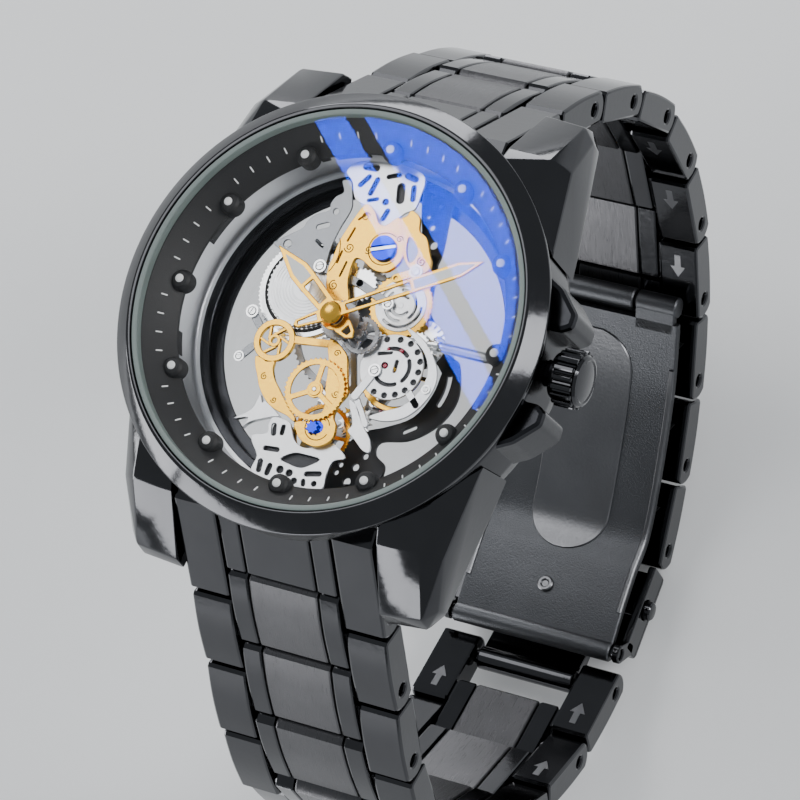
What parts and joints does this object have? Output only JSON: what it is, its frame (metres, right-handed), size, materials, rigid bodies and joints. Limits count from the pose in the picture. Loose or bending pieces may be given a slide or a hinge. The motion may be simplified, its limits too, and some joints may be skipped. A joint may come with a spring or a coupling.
{
  "type": "skeleton wristwatch",
  "caption": "Round black steel wristwatch with an open gold and silver movement, gold hands, a fluted crown and a closed link bracelet with a folding clasp.",
  "frame": {"origin": "centre of the case back's outer face", "axes": "+Z out of the dial, +Y to 12 o'clock, +X to the crown at 3 o'clock"},
  "size_m": [0.0456, 0.0778, 0.0772],
  "materials": {
    "black_steel": "polished and brushed black coated steel",
    "satin_steel": "fine blasted dark steel",
    "dial_black": "matt black",
    "silver_steel": "bright grained steel",
    "gold": "polished gold plating",
    "clear_glass": "clear coated mineral glass",
    "gasket": "smooth",
    "blued_steel": "heat-blued steel",
    "lume": "white luminous paint"
  },
  "bodies": {
    "case": {"case_middle": "black_steel", "bezel": "black_steel", "crystal": "clear_glass", "crystal_gasket": "gasket", "chapter_ring": "dial_black", "movement_ring": "silver_steel", "case_back": "black_steel", "rear_crystal": "clear_glass", "crown_tube": "black_steel", "support_plate": "dial_black", "mainplate": "silver_steel", "front_plate": "silver_steel", "upper_gold_bridge": "gold", "lower_gold_bridge": "gold", "balance_cock": "silver_steel", "end_link_12": "black_steel", "end_link_6": "black_steel"},
    "crown_slider": {"crown_gasket": "gasket"},
    "crown": {"crown": "black_steel", "winding_stem": "silver_steel"},
    "winding_pinion": {"winding_pinion": "silver_steel"},
    "crown_wheel": {"crown_wheel": "silver_steel"},
    "winding_wheel": {"winding_wheel": "gold"},
    "winding_idler": {"winding_idler": "silver_steel"},
    "ratchet_wheel": {"ratchet_wheel": "silver_steel"},
    "barrel": {"mainspring_barrel": "silver_steel"},
    "centre_arbor": {"centre_wheel": "silver_steel", "cannon_pinion": "silver_steel", "minute_hand": "gold"},
    "third_wheel": {"third_wheel": "gold"},
    "fourth_wheel": {"fourth_wheel": "gold"},
    "escape_wheel": {"escape_wheel": "silver_steel"},
    "pallet_fork": {"pallet_fork": "silver_steel"},
    "balance": {"balance_wheel": "gold", "hairspring": "blued_steel"},
    "minute_wheel": {"minute_wheel": "silver_steel"},
    "hour_hand": {"hour_wheel": "silver_steel", "hour_hand": "gold"},
    "link_12_1": {"link_12_1": "black_steel"},
    "link_12_2": {"link_12_2": "black_steel"},
    "link_12_3": {"link_12_3": "black_steel"},
    "link_12_4": {"link_12_4": "black_steel"},
    "link_12_5": {"link_12_5": "black_steel"},
    "link_12_6": {"link_12_6": "black_steel"},
    "link_12_7": {"link_12_7": "black_steel"},
    "link_12_8": {"link_12_8": "black_steel"},
    "link_12_9": {"link_12_9": "black_steel"},
    "link_6_1": {"link_6_1": "black_steel"},
    "link_6_2": {"link_6_2": "black_steel"},
    "link_6_3": {"link_6_3": "black_steel"},
    "link_6_4": {"link_6_4": "black_steel"},
    "link_6_5": {"link_6_5": "black_steel"},
    "link_6_6": {"link_6_6": "black_steel"},
    "link_6_7": {"link_6_7": "black_steel"},
    "link_6_8": {"link_6_8": "black_steel"},
    "short_blade": {"clasp_short_blade": "satin_steel"},
    "long_blade": {"clasp_long_blade": "satin_steel"},
    "cover": {"clasp_cover": "black_steel"},
    "button_right": {"clasp_button_right": "black_steel"},
    "button_left": {"clasp_button_left": "black_steel"}
  },
  "joints": [
    {"name": "crown_pull", "type": "slide", "parent": "case", "child": "crown_slider", "axis": [1, 0, 0], "range_m": [0, 0.0008]},
    {"name": "crown_turn", "type": "hinge", "parent": "crown_slider", "child": "crown", "pos_m": [0.0215, 0, 0.0056], "axis": [1, 0, 0], "continuous": true},
    {"name": "winding_pinion_turn", "type": "hinge", "parent": "case", "child": "winding_pinion", "pos_m": [0.0094, 0, 0.0056], "axis": [1, 0, 0], "continuous": true},
    {"name": "crown_wheel_turn", "type": "hinge", "parent": "case", "child": "crown_wheel", "pos_m": [0.0073, 0, 0.004], "axis": [0, 0, 1], "continuous": true},
    {"name": "winding_wheel_turn", "type": "hinge", "parent": "case", "child": "winding_wheel", "pos_m": [0.0045, 0.00301, 0.004], "axis": [0, 0, 1], "continuous": true},
    {"name": "winding_idler_turn", "type": "hinge", "parent": "case", "child": "winding_idler", "pos_m": [-0.00002, 0.0041, 0.004], "axis": [0, 0, 1], "continuous": true},
    {"name": "ratchet_turn", "type": "hinge", "parent": "case", "child": "ratchet_wheel", "pos_m": [-0.00526, 0.00268, 0.004], "axis": [0, 0, 1], "continuous": true},
    {"name": "barrel_turn", "type": "hinge", "parent": "case", "child": "barrel", "pos_m": [-0.00526, 0.00268, 0.004], "axis": [0, 0, 1], "continuous": true},
    {"name": "minute_hand_turn", "type": "hinge", "parent": "case", "child": "centre_arbor", "pos_m": [0, 0, 0.004], "axis": [0, 0, 1], "continuous": true},
    {"name": "third_wheel_turn", "type": "hinge", "parent": "case", "child": "third_wheel", "pos_m": [-0.00044, -0.0067, 0.004], "axis": [0, 0, 1], "continuous": true},
    {"name": "fourth_wheel_turn", "type": "hinge", "parent": "case", "child": "fourth_wheel", "pos_m": [0.00056, -0.01016, 0.004], "axis": [0, 0, 1], "continuous": true},
    {"name": "escape_wheel_turn", "type": "hinge", "parent": "case", "child": "escape_wheel", "pos_m": [0.00306, -0.00806, 0.004], "axis": [0, 0, 1], "continuous": true},
    {"name": "pallet_rock", "type": "hinge", "parent": "case", "child": "pallet_fork", "pos_m": [0.00424, -0.00602, 0.004], "axis": [0, 0, 1], "range_deg": [-6, 6]},
    {"name": "balance_swing", "type": "hinge", "parent": "case", "child": "balance", "pos_m": [0.006, -0.00295, 0.004], "axis": [0, 0, 1], "range_deg": [-270, 270], "stiffness_Nm_per_rad": 0.00000035},
    {"name": "minute_wheel_turn", "type": "hinge", "parent": "case", "child": "minute_wheel", "pos_m": [0.00226, -0.00082, 0.004], "axis": [0, 0, 1], "continuous": true},
    {"name": "hour_hand_turn", "type": "hinge", "parent": "case", "child": "hour_hand", "pos_m": [0, 0, 0.004], "axis": [0, 0, 1], "continuous": true},
    {"name": "link_12_1_hinge", "type": "hinge", "parent": "case", "child": "link_12_1", "pos_m": [0, 0.0238, -0.0017], "axis": [1, 0, 0], "range_deg": [0, 35]},
    {"name": "link_12_2_hinge", "type": "hinge", "parent": "link_12_1", "child": "link_12_2", "pos_m": [0, 0.02913, -0.00932], "axis": [1, 0, 0], "range_deg": [0, 15]},
    {"name": "link_12_3_hinge", "type": "hinge", "parent": "link_12_2", "child": "link_12_3", "pos_m": [0, 0.03321, -0.01768], "axis": [1, 0, 0], "range_deg": [0, 20]},
    {"name": "link_12_4_hinge", "type": "hinge", "parent": "link_12_3", "child": "link_12_4", "pos_m": [0, 0.03514, -0.02677], "axis": [1, 0, 0], "range_deg": [0, 26]},
    {"name": "link_12_5_hinge", "type": "hinge", "parent": "link_12_4", "child": "link_12_5", "pos_m": [0, 0.03385, -0.03598], "axis": [1, 0, 0], "range_deg": [0, 23]},
    {"name": "link_12_6_hinge", "type": "hinge", "parent": "link_12_5", "child": "link_12_6", "pos_m": [0, 0.02992, -0.04441], "axis": [1, 0, 0], "range_deg": [0, 20]},
    {"name": "link_12_7_hinge", "type": "hinge", "parent": "link_12_6", "child": "link_12_7", "pos_m": [0, 0.02407, -0.05164], "axis": [1, 0, 0], "range_deg": [0, 19]},
    {"name": "link_12_8_hinge", "type": "hinge", "parent": "link_12_7", "child": "link_12_8", "pos_m": [0, 0.01674, -0.05736], "axis": [1, 0, 0], "range_deg": [0, 17]},
    {"name": "link_12_9_hinge", "type": "hinge", "parent": "link_12_8", "child": "link_12_9", "pos_m": [0, 0.00845, -0.06159], "axis": [1, 0, 0], "range_deg": [0, 16]},
    {"name": "link_6_1_hinge", "type": "hinge", "parent": "case", "child": "link_6_1", "pos_m": [0, -0.0238, -0.0017], "axis": [-1, 0, 0], "range_deg": [0, 35]},
    {"name": "link_6_2_hinge", "type": "hinge", "parent": "link_6_1", "child": "link_6_2", "pos_m": [0, -0.029, -0.00941], "axis": [-1, 0, 0], "range_deg": [0, 6]},
    {"name": "link_6_3_hinge", "type": "hinge", "parent": "link_6_2", "child": "link_6_3", "pos_m": [0, -0.0342, -0.01712], "axis": [-1, 0, 0], "range_deg": [0, 15]},
    {"name": "link_6_4_hinge", "type": "hinge", "parent": "link_6_3", "child": "link_6_4", "pos_m": [0, -0.03813, -0.02555], "axis": [-1, 0, 0], "range_deg": [0, 26]},
    {"name": "link_6_5_hinge", "type": "hinge", "parent": "link_6_4", "child": "link_6_5", "pos_m": [0, -0.03894, -0.03481], "axis": [-1, 0, 0], "range_deg": [0, 26]},
    {"name": "link_6_6_hinge", "type": "hinge", "parent": "link_6_5", "child": "link_6_6", "pos_m": [0, -0.03653, -0.0438], "axis": [-1, 0, 0], "range_deg": [0, 21]},
    {"name": "link_6_7_hinge", "type": "hinge", "parent": "link_6_6", "child": "link_6_7", "pos_m": [0, -0.03188, -0.05185], "axis": [-1, 0, 0], "range_deg": [0, 21]},
    {"name": "link_6_8_hinge", "type": "hinge", "parent": "link_6_7", "child": "link_6_8", "pos_m": [0, -0.02531, -0.05843], "axis": [-1, 0, 0], "range_deg": [0, 26]},
    {"name": "short_blade_hinge", "type": "hinge", "parent": "link_12_9", "child": "short_blade", "pos_m": [0, -0.00044, -0.06431], "axis": [1, 0, 0], "range_deg": [0, 60]},
    {"name": "fold_hinge", "type": "hinge", "parent": "short_blade", "child": "long_blade", "pos_m": [0, 0.02189, -0.04943], "axis": [-1, 0, 0], "range_deg": [0, 95]},
    {"name": "cover_hinge", "type": "hinge", "parent": "long_blade", "child": "cover", "pos_m": [0, -0.01307, -0.06039], "axis": [-1, 0, 0], "range_deg": [0, 38]},
    {"name": "right_button_press", "type": "slide", "parent": "cover", "child": "button_right", "axis": [-1, 0, 0], "range_m": [0, 0.0008], "stiffness_N_per_m": 500},
    {"name": "left_button_press", "type": "slide", "parent": "cover", "child": "button_left", "axis": [1, 0, 0], "range_m": [0, 0.0008], "stiffness_N_per_m": 500}
  ],
  "couplings": [
    {"joint": "third_wheel_turn", "follows": "fourth_wheel_turn", "ratio": -0.2},
    {"joint": "minute_hand_turn", "follows": "fourth_wheel_turn", "ratio": 0.025},
    {"joint": "escape_wheel_turn", "follows": "fourth_wheel_turn", "ratio": -8},
    {"joint": "barrel_turn", "follows": "fourth_wheel_turn", "ratio": -0.0039474},
    {"joint": "minute_wheel_turn", "follows": "fourth_wheel_turn", "ratio": -0.0083333},
    {"joint": "hour_hand_turn", "follows": "fourth_wheel_turn", "ratio": 0.0020833},
    {"joint": "winding_pinion_turn", "follows": "crown_turn", "ratio": 1},
    {"joint": "crown_wheel_turn", "follows": "crown_turn", "ratio": 0.41667},
    {"joint": "winding_wheel_turn", "follows": "crown_turn", "ratio": -0.13542},
    {"joint": "winding_idler_turn", "follows": "crown_turn", "ratio": 0.27083},
    {"joint": "ratchet_turn", "follows": "crown_turn", "ratio": -0.10833}
  ]
}
